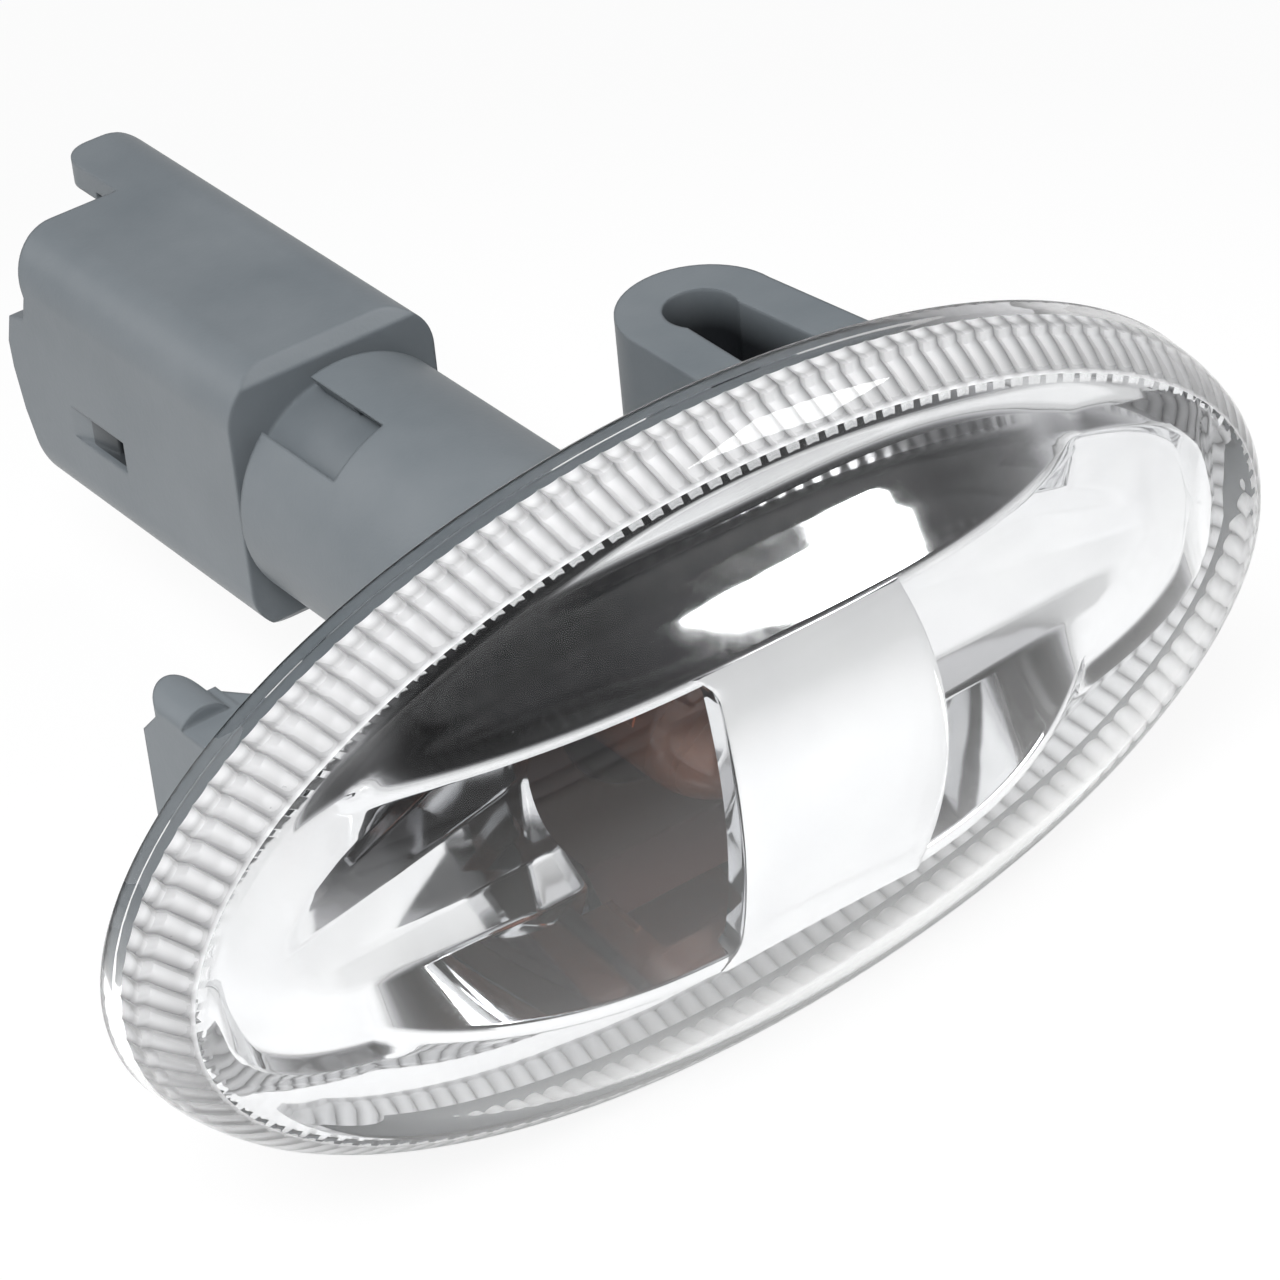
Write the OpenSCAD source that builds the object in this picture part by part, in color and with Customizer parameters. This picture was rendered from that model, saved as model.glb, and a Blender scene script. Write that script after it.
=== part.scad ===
/* [Lens] */
// Length of the oval lens over its skirt
lens_len = 83; // [78:0.5:88]
// Height of the oval lens over its skirt
lens_ht = 43.8; // [40:0.2:47]
// Wall of the clear lens
lens_wall = 1.6; // [1.4:0.1:1.9]
// How far the middle of the lens stands in front of the panel
lens_rise = 13.4; // [13:0.1:15]
// Number of flutes round the inside of the lens skirt
flute_count = 136; // [100:2:150]
// How deep each flute stands inside the skirt
flute_depth = 0.5; // [0.3:0.05:0.6]

/* [Reflector] */
// Distance from the outside of the lens to the edge of the flat land
land_gap = 3.3; // [3:0.1:3.6]
// Width of the flat land at the ends of the eye
land_w = 3.2; // [3:0.1:3.6]
// Half height of the eye-shaped opening
eye_half = 9.6; // [9.2:0.1:10]
// Clearance between the shield and the inside of the lens
lens_clear = 1; // [0.8:0.1:1.6]
// Width of each visor at the middle of the lamp
visor_w = 4.8; // [4:0.1:5.2]
// Width of the bead round the ends of the eye
bead_w = 2.2; // [1.8:0.1:2.6]
// Depth of the troughs behind the flat land
trough_depth = 4.3; // [3:0.1:4.6]
// Radius of the round opening behind the bulb
window_r = 11.4; // [10:0.1:12]
// Left edge of the shield in front of the bulb
shield_left = -5.5; // [-6.5:0.1:-4]
// Right edge of the shield at its middle
shield_right = 9.7; // [8:0.1:11]
// Thickness of the shield
shield_t = 1.9; // [1.4:0.1:2.2]

/* [Housing] */
// Height of the rim in front of the panel
rim_ht = 2.2; // [1.8:0.1:2.3]
// Overhang of the rim past the ends of the body
rim_over = 11.1; // [10.6:0.1:11.6]
// Height of the body that passes through the panel
body_ht = 26; // [25:0.2:30]
// Depth of the body behind the panel
body_depth = 5.6; // [5.2:0.1:6.4]
// Outer diameter of the neck
neck_od = 17; // [16.4:0.1:17.6]
// Bore of the neck
neck_bore = 14; // [13.6:0.1:14.2]
// Reach of the neck behind the panel
neck_len = 36; // [33:0.1:38]
// Width of each bayonet notch in the end of the neck
notch_w = 4.6; // [4:0.1:5]
// Length of each bayonet notch
notch_len = 8; // [7:0.1:9]

/* [Spring clip] */
// Width of the spring clip
clip_w = 12; // [10:0.1:14]
// Distance from the end of the body to the middle of the clip's bend
clip_in = 7.7; // [7:0.1:8.4]
// Reach of the spring clip behind the panel
clip_reach = 33.9; // [30:0.1:36]
// Outer radius of the spring clip's bend
clip_bend = 5.6; // [5.2:0.1:6]
// Radius of the eye in the spring clip's bend
clip_eye = 2.5; // [2:0.1:2.7]

/* [Fixed hook] */
// Height of the fixed hook
hook_ht = 20.4; // [18:0.1:22]
// Reach of the fixed hook behind the panel
hook_reach = 11; // [10:0.1:12]
// Distance from the panel seat to the hook's catch
catch_gap = 6.5; // [5.5:0.1:7]

/* [Bulb holder] */
// Width of the connector shroud
shroud_w = 15.8; // [15.2:0.1:16.6]
// Height of the connector shroud
shroud_h = 19.2; // [18.6:0.1:20]
// Corner radius of the connector shroud
shroud_r = 3.6; // [3:0.1:4]
// Wall of the connector shroud
shroud_wall = 1.3; // [1.2:0.1:1.6]
// Length of the connector shroud
shroud_len = 28; // [25:0.1:30]
// Length of the guide tongue behind the shroud
tongue_len = 6; // [4:0.1:7]
// Depth of the socket in the shroud
socket_depth = 18; // [16:0.1:19]

/* [Bulb] */
// Diameter of the bulb's glass
bulb_d = 10; // [9.6:0.1:10.3]
// Where the tip of the bulb stands in front of the panel
bulb_tip = 5.5; // [5:0.1:6]
// Length of the bulb from its tip to the end of its wedge base
bulb_len = 26.5; // [25:0.1:28]

/* [Hidden] */
$fn = 64;
eps = 0.01;
lens_a = lens_len / 2;
lens_b = lens_ht / 2;
body_a = lens_a - rim_over;
body_b = body_ht / 2;
hook_x = body_a + 0.1;
clip_x = body_a - clip_in;
inner_top = lens_rise - lens_wall - 0.3;
weld_gap = 0.06;
seat_gap = 0.25;
body_gap = 0.3;
land_y = -(rim_ht + 0.6);
land_t = 1.5;
floor_y = land_y + land_t + seat_gap;

function clamp01(v) = max(0, min(1, v));
function ell(a, b, t) = [a * cos(t), b * sin(t)];

// Angles that space points evenly along the edge of the lens oval
arc_steps = 360;
arc_pts = [for (i = [0:arc_steps]) ell(lens_a, lens_b, i)];
function running(i, total) = i > arc_steps ? [] :
  concat([[total, i]], running(i + 1, total + (i < arc_steps ? norm(arc_pts[i + 1] - arc_pts[i]) : 0)));
arc_table = running(0, 0);
arc_total = arc_table[arc_steps][0];
function even_angle(u) = lookup((u - floor(u)) * arc_total, arc_table);

// Rings of points at an inset from the lens oval and a distance in front
function ring_at(n, a, b, t) = [for (i = [0:n - 1])
  let (p = ell(a, b, even_angle(i / n))) [p[0], -t, p[1]]];
function ring(n, inset, t) = ring_at(n, lens_a - inset, lens_b - inset, t);
flute_form = [0, 0.75, 1, 0.75];
function fluted(n, inset, t) = [for (i = [0:n - 1]) for (m = [0:3])
  let (k = inset + flute_depth * flute_form[m], p = ell(lens_a - k, lens_b - k, even_angle((i + m / 4) / n)))
  [p[0], -t, p[1]]];

// Faces between rings of n points, and from n points to n * k points
function quads(n, p, q) = [for (i = [0:n - 1])
  let (j = (i + 1) % n) each [[p + i, p + j, q + j], [p + i, q + j, q + i]]];
function widen(n, k, p, q, flip) = [for (i = [0:n - 1])
  let (j = (i + 1) % n, h = k / 2)
  for (f = concat(
    [for (m = [0:h - 1]) [p + i, q + k * i + m + 1, q + k * i + m]],
    [[p + i, p + j, q + k * i + h]],
    [for (m = [h:k - 1]) [p + j, q + (k * i + m + 1) % (n * k), q + k * i + m]]))
  flip ? [f[0], f[2], f[1]] : f];
function cap(n, p, centre, flip) = [for (i = [0:n - 1])
  let (j = (i + 1) % n) flip ? [p + j, p + i, centre] : [p + i, p + j, centre]];

// The lens: a skirt, a rounded shoulder and a shallow dome, fluted inside
shoulder_in = 2.6;
shoulder_t = 6.3;
inner_in = shoulder_in + 1.5;
inner_t = shoulder_t - 0.9;
flute_from = rim_ht + 0.3;
flute_to = 5;
dome_power = 2.36;
outer_dome = [0.94, 0.84, 0.7, 0.54, 0.36, 0.18];
inner_dome = [0.9, 0.74, 0.54, 0.3];
function dome_t(s, edge_t, top_t) = edge_t + (top_t - edge_t) * (1 - pow(s, dome_power));
function dome_ring(n, inset, s, t) = ring_at(n, (lens_a - inset) * s, (lens_b - inset) * s, t);
module lens() {
  n = flute_count;
  outer = [
    ring(n, 0, 0), ring(n, 0.15, 1.2), ring(n, 0.3, 2.3), ring(n, 0.8, 4), ring(n, 1.6, 5.3),
    ring(n, shoulder_in, shoulder_t),
    for (s = outer_dome) dome_ring(n, shoulder_in, s, dome_t(s, shoulder_t, lens_rise))
  ];
  low = [ring(n, lens_wall, 0), ring(n, lens_wall, rim_ht + 0.1)];
  flutes = [fluted(n, lens_wall + 0.2, flute_from), fluted(n, lens_wall + 1, flute_to)];
  high = [
    ring(n, lens_wall + 1.3, flute_to + 0.2), ring(n, inner_in, inner_t),
    for (s = inner_dome) dome_ring(n, inner_in, s, dome_t(s, inner_t, inner_top))
  ];
  points = concat([for (r = outer) each r], [for (r = low) each r], [for (r = flutes) each r],
    [for (r = high) each r], [[0, -lens_rise, 0], [0, -inner_top, 0]]);
  low0 = n * len(outer);
  flute0 = low0 + 2 * n;
  high0 = flute0 + 8 * n;
  tip = high0 + n * len(high);
  faces = concat(
    [for (r = [0:len(outer) - 2]) each quads(n, n * r, n * (r + 1))],
    cap(n, n * (len(outer) - 1), tip, false),
    quads(n, low0, 0),
    quads(n, low0 + n, low0),
    widen(n, 4, low0 + n, flute0, true),
    quads(4 * n, flute0 + 4 * n, flute0),
    widen(n, 4, high0, flute0 + 4 * n, false),
    [for (r = [0:len(high) - 2]) each quads(n, high0 + n * (r + 1), high0 + n * r)],
    cap(n, high0 + n * (len(high) - 1), tip + 1, true));
  color([0.93, 0.95, 0.97, 0.35]) polyhedron(points, faces, convexity = 8);
}

// Widths and heights of the reflector's section at a distance x along the lamp
refl_a = lens_a - land_gap;
refl_b = lens_b - land_gap;
eye_reach = refl_a - land_w;
shield_crown = 1.5;
visor_rise = inner_top - lens_clear - shield_crown + land_y;
refl_end = refl_a - 0.3;
eye_power = 2.9;
visor_end = eye_reach - 8.5;
bead_rise = 0.9;
bowl_from = window_r + 1.1;
floor_end = eye_reach - 3.5;
crease_a_end = eye_reach - 4.8;
crease_b_end = eye_reach - 7.5;
crease_b_z = eye_half - 1.4;
crease_a_z = eye_half - 4.1;
apart = 0.03;
function land_z(x) = refl_b * sqrt(max(0, 1 - pow(x / refl_a, 2)));
function eye_z(x, k) = (eye_half + k) * pow(clamp01(1 - pow(abs(x) / (eye_reach + k), eye_power)), 1 / eye_power);
function hump(x) = clamp01(1 - pow(x / visor_end, 2));
function skirt_k(x) = bead_w + (visor_w - bead_w) * hump(x);
function bead_y(k) = k <= 0 || k >= bead_w ? 0 : bead_rise * sin(180 * k / bead_w);
function past(x) = abs(x) - eye_reach;
function lip_y(x) = land_y - (past(x) > 0 ? bead_y(past(x)) : visor_rise * hump(x));
function crown_y(x) = land_y - (past(x) > skirt_k(x) / 2 ? bead_y(past(x)) :
  max(bead_rise, visor_rise * hump(x) / 2 + 0.1));
function bowl(x, z0, y0, x1, z1) = let (u = max(0, abs(x) - bowl_from) / (x1 - bowl_from))
  u < 1 ? [z0 + (z1 - z0) * u, y0 + (land_y - y0) * u] :
  [z1 * clamp01((eye_reach - abs(x)) / (eye_reach - x1)), past(x) > 0 ? lip_y(x) : land_y];
crease_b = trough_depth - 1.5;
crease_a = trough_depth - 0.5;
function front_half(x) = let (
  f = [0, bowl(x, 0, land_y + trough_depth, floor_end, 0)[1]],
  a = bowl(x, crease_a_z, land_y + crease_a, crease_a_end, 2),
  b = bowl(x, crease_b_z, land_y + crease_b, crease_b_end, 4.3),
  az = max(a[0], apart),
  bz = max(b[0], az + apart),
  li = max(eye_z(x, 0) - 0.4, bz + apart),
  lo = max(eye_z(x, 0) + 0.4 * clamp01(-past(x)), li + apart),
  cr = max(eye_z(x, skirt_k(x) / 2), lo + apart),
  ba = max(eye_z(x, skirt_k(x)), cr + apart))
  [[max(land_z(x), ba + apart), land_y], [ba, land_y], [cr, crown_y(x)], [lo, lip_y(x)], [li, lip_y(x)],
   [bz, b[1]], [az, a[1]], f];
function back_half(x) = let (h = front_half(x), g = clamp01((eye_reach + 1 - abs(x)) / 4),
  az = h[6][0] + 0.4 * g, bz = max(h[5][0] + 1.2 * g, az + apart),
  lz = max(h[3][0] + 0.3 * g, bz + apart), sz = max(h[1][0] - 0.35 * g, lz + apart),
  back = land_y + land_t)
  [[h[0][0], back], [min(sz, h[0][0] - apart), back], [lz, min(back, lip_y(x) + 2.4)],
   [bz, max(back, h[5][1] + 0.8)], [az, max(back, h[6][1] + 1.1)], [0, max(back, h[7][1] + 1.1)]];
function whole(x, h) = let (k = len(h))
  concat([for (p = h) [x, p[1], p[0]]], [for (i = [k - 2:-1:0]) [x, h[i][1], -h[i][0]]]);

// The shell: front and back sheets lofted along the lamp and closed all round
stations = [for (i = [0:30]) -refl_end * cos(180 * i / 30)];
module shell() {
  fronts = [for (x = stations) whole(x, front_half(x))];
  backs = [for (x = stations) whole(x, back_half(x))];
  nf = len(fronts[0]);
  nb = len(backs[0]);
  rows = len(stations);
  b0 = nf * rows;
  hf = (nf - 1) / 2;
  hb = (nb - 1) / 2;
  function end_faces(r, flip) = let (f = r * nf, b = b0 + r * nb, loop = concat(
    [for (i = [0:nf - 1]) f + i], [for (i = [nb - 1:-1:0]) b + i]))
    [flip ? [for (i = [len(loop) - 1:-1:0]) loop[i]] : loop];
  faces = concat(
    [for (r = [0:rows - 2]) for (i = [0:nf - 2]) let (a = r * nf + i)
      each [[a, a + 1, a + nf + 1], [a, a + nf + 1, a + nf]]],
    [for (r = [0:rows - 2]) for (i = [0:nb - 2]) let (a = b0 + r * nb + i)
      each [[a, a + nb + 1, a + 1], [a, a + nb, a + nb + 1]]],
    [for (r = [0:rows - 2]) let (a = r * nf, b = b0 + r * nb) each [[a, b + nb, b], [a, a + nf, b + nb]]],
    [for (r = [0:rows - 2]) let (a = r * nf + nf - 1, b = b0 + r * nb + nb - 1)
      each [[a, b, b + nb], [a, b + nb, a + nf]]],
    end_faces(0, true), end_faces(rows - 1, false));
  polyhedron([for (s = fronts) each s, for (s = backs) each s],
    [for (f = faces) [for (i = [len(f) - 1:-1:0]) f[i]]], convexity = 10);
}

// The shield: a bowed strip from lip to lip that hides the bulb from the front
shield_flare = 1.4;
function shield_row(z) = let (
  half = eye_half + 0.3,
  left = shield_left - shield_flare * pow(clamp01((abs(z) - half + 2) / 2), 2),
  right = shield_right - 1.7 * pow(z / half, 2),
  y = lip_y(0) - shield_crown * (1 - pow(z / half, 2)))
  [[left, y, z], [right, y, z], [right, y + shield_t, z], [left, y + shield_t, z]];
block_faces = [[0, 1, 2, 3], [7, 6, 5, 4], [0, 4, 5, 1], [1, 5, 6, 2], [2, 6, 7, 3], [3, 7, 4, 0]];
module shield() {
  steps = 16;
  rows = [for (i = [0:steps]) shield_row((eye_half + 0.3) * (2 * i / steps - 1))];
  for (i = [0:steps - 1]) hull() polyhedron(concat(rows[i], rows[i + 1]), block_faces);
}

cut_half = 8.7;
collar_w = 2;
module reflector() {
  color([0.9, 0.9, 0.92]) {
    difference() {
      shell();
      rod_y(window_r, land_y + 1.6, land_y + trough_depth + 3);
      translate([0, land_y + crease_b - 1.6, 0]) rotate([-90, 0, 0])
        cylinder(r1 = window_r + collar_w + 0.3, r2 = window_r, h = 2.4);
      translate([-cut_half, land_y - visor_rise + 2.6, -eye_half - 0.1])
        cube([2 * cut_half, visor_rise + trough_depth, 2 * eye_half + 0.2]);
    }
    shield();
  }
}

// Rods, ovals and rounded blocks that run along Y
module rod_y(r, y0, y1) {
  translate([0, y0, 0]) rotate([-90, 0, 0]) cylinder(r = r, h = y1 - y0);
}
module oval_y(a, b, y0, y1) {
  pts = [for (i = [0:119]) ell(a, b, even_angle(i / 120))];
  translate([0, y1, 0]) rotate([90, 0, 0]) linear_extrude(y1 - y0) polygon(pts);
}
module round_box_y(w, h, r, y0, y1) {
  translate([0, y1, 0]) rotate([90, 0, 0]) linear_extrude(y1 - y0) union() {
    square([w - 2 * r, h], center = true);
    square([w, h - 2 * r], center = true);
    for (sx = [-1, 1], sz = [-1, 1]) translate([sx * (w / 2 - r), sz * (h / 2 - r)]) circle(r);
  }
}

// The spring clip: a hairpin whose outer leg is free at its front end
clip_bend_y = clip_reach - clip_bend;
clip_leg = 3.4;
clip_foot = body_depth + 1.2;
clip_spread = 2.4;
clip_nose = 1.3;
module clip_profile() {
  inner = clip_x - clip_bend;
  outer = clip_x + clip_bend;
  foot_x = outer + clip_spread;
  difference() {
    union() {
      polygon([[inner, body_depth - 0.5], [inner, clip_bend_y], [outer, clip_bend_y],
        [foot_x - 0.3, clip_foot + 4], [foot_x + clip_nose, clip_foot + 1.6],
        [foot_x + clip_nose, clip_foot + 0.8], [foot_x, clip_foot], [foot_x - clip_leg, clip_foot],
        [foot_x - clip_leg - 0.1, clip_foot - eps], [clip_x, clip_foot - eps], [clip_x, body_depth - 0.5]]);
      translate([clip_x, clip_bend_y]) circle(clip_bend);
    }
    translate([clip_x, clip_bend_y]) circle(clip_eye, $fn = 48);
    polygon([[clip_x - clip_eye + 0.4, clip_bend_y - 1], [clip_x + clip_eye - 0.2, clip_bend_y - 1],
      [foot_x - clip_leg, clip_foot - 1], [foot_x - clip_leg, body_depth - 1],
      [inner + clip_leg, body_depth - 1], [inner + clip_leg, clip_bend_y - 8]]);
  }
}
module spring_clip() {
  translate([0, 0, -clip_w / 2]) linear_extrude(clip_w) clip_profile();
}

// The fixed hook: an upright lug with a bead on its upper and lower edge
hook_t = 3.8;
hook_bead_w = 3.2;
hook_bead_h = 0.9;
hook_round = (pow(hook_bead_w / 2, 2) + pow(hook_bead_h, 2)) / (2 * hook_bead_h) + 0.05;
hook_web = 7;
module fixed_hook() {
  half = hook_ht / 2;
  translate([-hook_x, 0, 0]) rotate([90, 0, 90]) linear_extrude(hook_t) difference() {
    translate([-0.5, -half]) square([hook_reach + 0.5, hook_ht]);
    for (s = [-1, 1]) translate([hook_reach, s * half]) rotate(45) square(3, center = true);
  }
  for (s = [-1, 1]) {
    intersection() {
      translate([-hook_x + hook_bead_w / 2, 0, s * half - hook_bead_h - eps])
        linear_extrude(2 * (hook_bead_h + eps)) union() {
          translate([-hook_bead_w / 2, catch_gap]) square([hook_bead_w, hook_reach - catch_gap - 2]);
          translate([0, hook_reach - 2]) circle(hook_bead_w / 2 - 0.02, $fn = 32);
        }
      translate([-hook_x + hook_bead_w / 2, 0, s * (half + hook_bead_h - hook_round)])
        rod_y(hook_round, catch_gap - 1, hook_reach + 1);
    }
    translate([-hook_x + hook_t - eps, -0.5, s * (half - 1) - 0.9]) linear_extrude(1.8)
      polygon([[0, 0], [hook_web, 0], [0, hook_reach - 2]]);
  }
}

// The housing: rim, body, neck, clip, hook and the two ledges under the bulb
rim_a = lens_a - lens_wall - weld_gap;
rim_b = lens_b - lens_wall - weld_gap;
body_wall = 1.2;
bore_r = neck_bore / 2;
groove_r = bore_r + 0.9;
lug_t = 2.8;
groove_y = neck_len - notch_len;
groove_step = 0.4;
notch_angle = 120;
ledge_z = eye_half + 1.6;
ledge_half = 8.5;
ledge_t = 0.8;
visor_slope = visor_rise / (visor_w - 0.4);
module ledge() {
  tip_y = lip_y(ledge_half) + 2.4 + (ledge_z - eye_half - 0.7) * visor_slope + body_gap;
  run = (floor_y - tip_y) / visor_slope;
  translate([-ledge_half, 0, 0]) rotate([90, 0, 90]) linear_extrude(2 * ledge_half)
    polygon([[tip_y, ledge_z], [floor_y + 0.1, ledge_z + run], [floor_y + 0.6, ledge_z + run],
      [floor_y + 0.6, ledge_z + ledge_t], [body_depth - body_wall + 0.2, ledge_z + ledge_t],
      [body_depth - body_wall + 0.2, ledge_z]]);
}
module housing() {
  color([0.5, 0.52, 0.54]) difference() {
    union() {
      difference() {
        union() {
          oval_y(rim_a, rim_b, -rim_ht, 0);
          oval_y(body_a, body_b, -eps, body_depth);
        }
        oval_y(refl_a + 0.25, refl_b + 0.25, -rim_ht - 1, floor_y);
        oval_y(body_a - body_wall, body_b - body_wall, floor_y - 1, body_depth - body_wall);
      }
      rod_y(neck_od / 2, body_depth - body_wall, neck_len);
      translate([0, body_depth - eps, 0]) rotate([-90, 0, 0])
        cylinder(r1 = neck_od / 2 + 1.5, r2 = neck_od / 2 - 0.05, h = 4);
      for (s = [0, 1]) mirror([0, 0, s]) ledge();
      spring_clip();
      fixed_hook();
    }
    rod_y(bore_r, body_depth - body_wall - 1, neck_len + 1);
    rod_y(groove_r, groove_y + groove_step, groove_y + groove_step + lug_t + 0.6);
    for (s = [0, 180]) rotate([0, -notch_angle - s, 0])
      translate([0, groove_y, -notch_w / 2]) cube([neck_od, notch_len + 1, notch_w]);
  }
}

// The bulb holder: a core with two lugs, and the connector shroud behind it
turn_gap = 0.05;
core_r = bore_r - turn_gap;
core_front = 14;
core_len_gap = 1;
seal_y = 22.5;
seal_cord = 1.6;
seal_room = 0.2;
lug_r = groove_r - 2 * turn_gap;
lug_y = groove_y + groove_step + 0.3;
lug_angle = notch_angle + 45;
lug_w = notch_w - 0.6;
shroud_y = neck_len + core_len_gap;
shroud_end = shroud_y + shroud_len;
socket_floor = shroud_end - socket_depth;
base_w = 9.4;
base_t = 2.4;
base_back = bulb_len - bulb_tip;
fit = 0.1;
leaf_t = 0.4;
blade_w = 2.8;
blade_t = 0.8;
blade_z = 2.6;
pocket_z = base_t / 2 + leaf_t + 2 * fit;
module shroud_end_form() {
  h = shroud_h / 2;
  translate([-shroud_w, 0, 0]) rotate([90, 0, 90]) linear_extrude(2 * shroud_w)
    polygon([[shroud_y - 1, -h + 0.9], [shroud_y, -h + 0.9], [shroud_y + 0.9, -h],
      [shroud_end - 3, -h], [shroud_end - 2.3, -h + 2.2], [shroud_end - 0.8, -4], [shroud_end - 0.1, -1],
      [shroud_end, 1], [shroud_end - 0.7, 3.2], [shroud_end - 2.6, 3.7], [shroud_end - 3.2, 5.6],
      [shroud_end - 2, h - 0.6], [shroud_end - 1.8, h], [shroud_y + 0.9, h], [shroud_y, h - 0.9],
      [shroud_y - 1, h - 0.9]]);
}
module bulb_holder() {
  color([0.49, 0.51, 0.53]) difference() {
    union() {
      rod_y(core_r, core_front, shroud_y + eps);
      intersection() {
        rod_y(lug_r, lug_y, lug_y + lug_t - 0.1);
        union() for (s = [0, 180]) rotate([0, -lug_angle - s, 0])
          translate([0, lug_y - 1, -lug_w / 2]) cube([lug_r + 1, lug_t + 2, lug_w]);
      }
      intersection() {
        round_box_y(shroud_w, shroud_h, shroud_r, shroud_y, shroud_end);
        shroud_end_form();
      }
      guide_tongue();
    }
    round_box_y(shroud_w - 2 * shroud_wall, shroud_h - 2 * shroud_wall, shroud_r - shroud_wall,
      socket_floor, shroud_end + 1);
    translate([0, seal_y, 0]) rotate([-90, 0, 0]) difference() {
      cylinder(r = bore_r + 1, h = seal_cord + 2 * seal_room);
      translate([0, 0, -1]) cylinder(r = bore_r - seal_cord, h = seal_cord + 3);
    }
    translate([-base_w / 2 - fit, core_front - 1, -pocket_z])
      cube([base_w + 2 * fit, base_back - core_front + 1.2, 2 * pocket_z]);
    for (s = [-1, 1]) translate([-blade_w / 2 - fit, base_back - 4, s * blade_z - blade_t / 2 - fit])
      cube([blade_w + 2 * fit, socket_floor - base_back + 5, blade_t + 2 * fit]);
    for (s = [0, 1]) mirror([0, 0, s]) translate([-blade_w / 2 - fit, base_back - 3.2 - fit, pocket_z - 0.1])
      cube([blade_w + 2 * fit, 1 + 2 * fit, blade_z - pocket_z]);
    latch_window();
  }
}
tongue_from = 0.9;
module guide_tongue() {
  r = 2.2;
  w = shroud_w / 2 - 0.2 - tongue_from;
  start = shroud_end - 8;
  reach = tongue_len + 7.5;
  intersection() {
    round_box_y(shroud_w, shroud_h, shroud_r, start, start + reach);
    translate([tongue_from, start, shroud_h / 2 - shroud_wall - 0.6]) linear_extrude(shroud_wall + 1) union() {
      square([w, reach - r]);
      translate([r, reach - r - eps]) square([w - 2 * r, r + eps]);
      for (x = [r, w - r]) translate([x, reach - r]) circle(r, $fn = 48);
    }
  }
}
latch_y = shroud_y + 14.2;
latch_z = -2.1;
latch_s = 2.3;
module latch_window() {
  translate([-shroud_w / 2 - 1, latch_y, latch_z - latch_s / 2]) cube([shroud_wall + 2, latch_s, latch_s]);
  translate([-shroud_w / 2, latch_y + latch_s - eps, latch_z - latch_s / 2]) linear_extrude(latch_s)
    polygon([[-1, 0], [0.9, 0], [0, 4.2], [-1, 4.2]]);
}

// The seal: a rubber ring that lies in the groove of the core
module neck_seal() {
  color([0.15, 0.15, 0.15]) translate([0, seal_y + seal_room + seal_cord / 2, 0]) rotate([-90, 0, 0])
    rotate_extrude($fn = 64) translate([bore_r - 0.03 - (seal_cord - 0.06) / 2, 0])
    circle((seal_cord - 0.06) / 2, $fn = 24);
}

// Each terminal: a leaf on the wedge base and a blade in the socket
blade_out = 9;
module terminal(s) {
  z0 = base_t / 2 + fit;
  color([0.78, 0.75, 0.66]) mirror([0, 0, s < 0 ? 1 : 0]) {
    translate([-blade_w / 2, core_front + 0.8, z0]) cube([blade_w, base_back - core_front - 3, leaf_t]);
    translate([-blade_w / 2, base_back - 3.2, z0]) cube([blade_w, 1, blade_z + blade_t / 2 - z0]);
    translate([-blade_w / 2, base_back - 3.2, blade_z - blade_t / 2])
      cube([blade_w, socket_floor + blade_out - base_back + 3.2, blade_t]);
  }
}
module terminal_left() {
  terminal(-1);
}
module terminal_right() {
  terminal(1);
}

// The bulb: a hollow envelope pinched to a flat wedge base
bulb_r = bulb_d / 2;
glass_wall = 0.6;
dome_y = bulb_r - bulb_tip;
envelope_y = 11;
module bulb_form(r, back) {
  translate([0, dome_y, 0]) sphere(r, $fn = 48);
  rod_y(r, dome_y, back);
}
module bulb_glass() {
  color([0.85, 0.4, 0.1, 0.6]) {
    difference() {
      bulb_form(bulb_r, envelope_y);
      bulb_form(bulb_r - glass_wall, envelope_y - 1);
    }
    translate([0, envelope_y - eps, 0]) rotate([-90, 0, 0])
      cylinder(r1 = bulb_r, r2 = base_t / 2 + 0.2, h = 2.6);
    translate([-base_w / 2, envelope_y + 1.2, -base_t / 2])
      cube([base_w, base_back - envelope_y - 1.2, base_t]);
  }
}

// Two wires rise from the wedge to the filament between their tips
wire_r = 0.25;
wire_x = 2.3;
coil_y = 1.5;
module lead_wire(s) {
  color([0.7, 0.68, 0.62]) translate([s * wire_x, 0, 0]) rod_y(wire_r, coil_y - 0.4, envelope_y - 1);
}
module lead_wire_left() {
  lead_wire(-1);
}
module lead_wire_right() {
  lead_wire(1);
}
module filament() {
  color([0.35, 0.33, 0.32]) translate([-wire_x + wire_r, coil_y, 0]) rotate([0, 90, 0])
    cylinder(r = 0.22, h = 2 * (wire_x - wire_r));
}

lens();
reflector();
housing();
bulb_holder();
neck_seal();
terminal_left();
terminal_right();
bulb_glass();
filament();
lead_wire_left();
lead_wire_right();
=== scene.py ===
import math

import bmesh
import bpy
import numpy as np
from mathutils import Matrix, Vector

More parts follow.
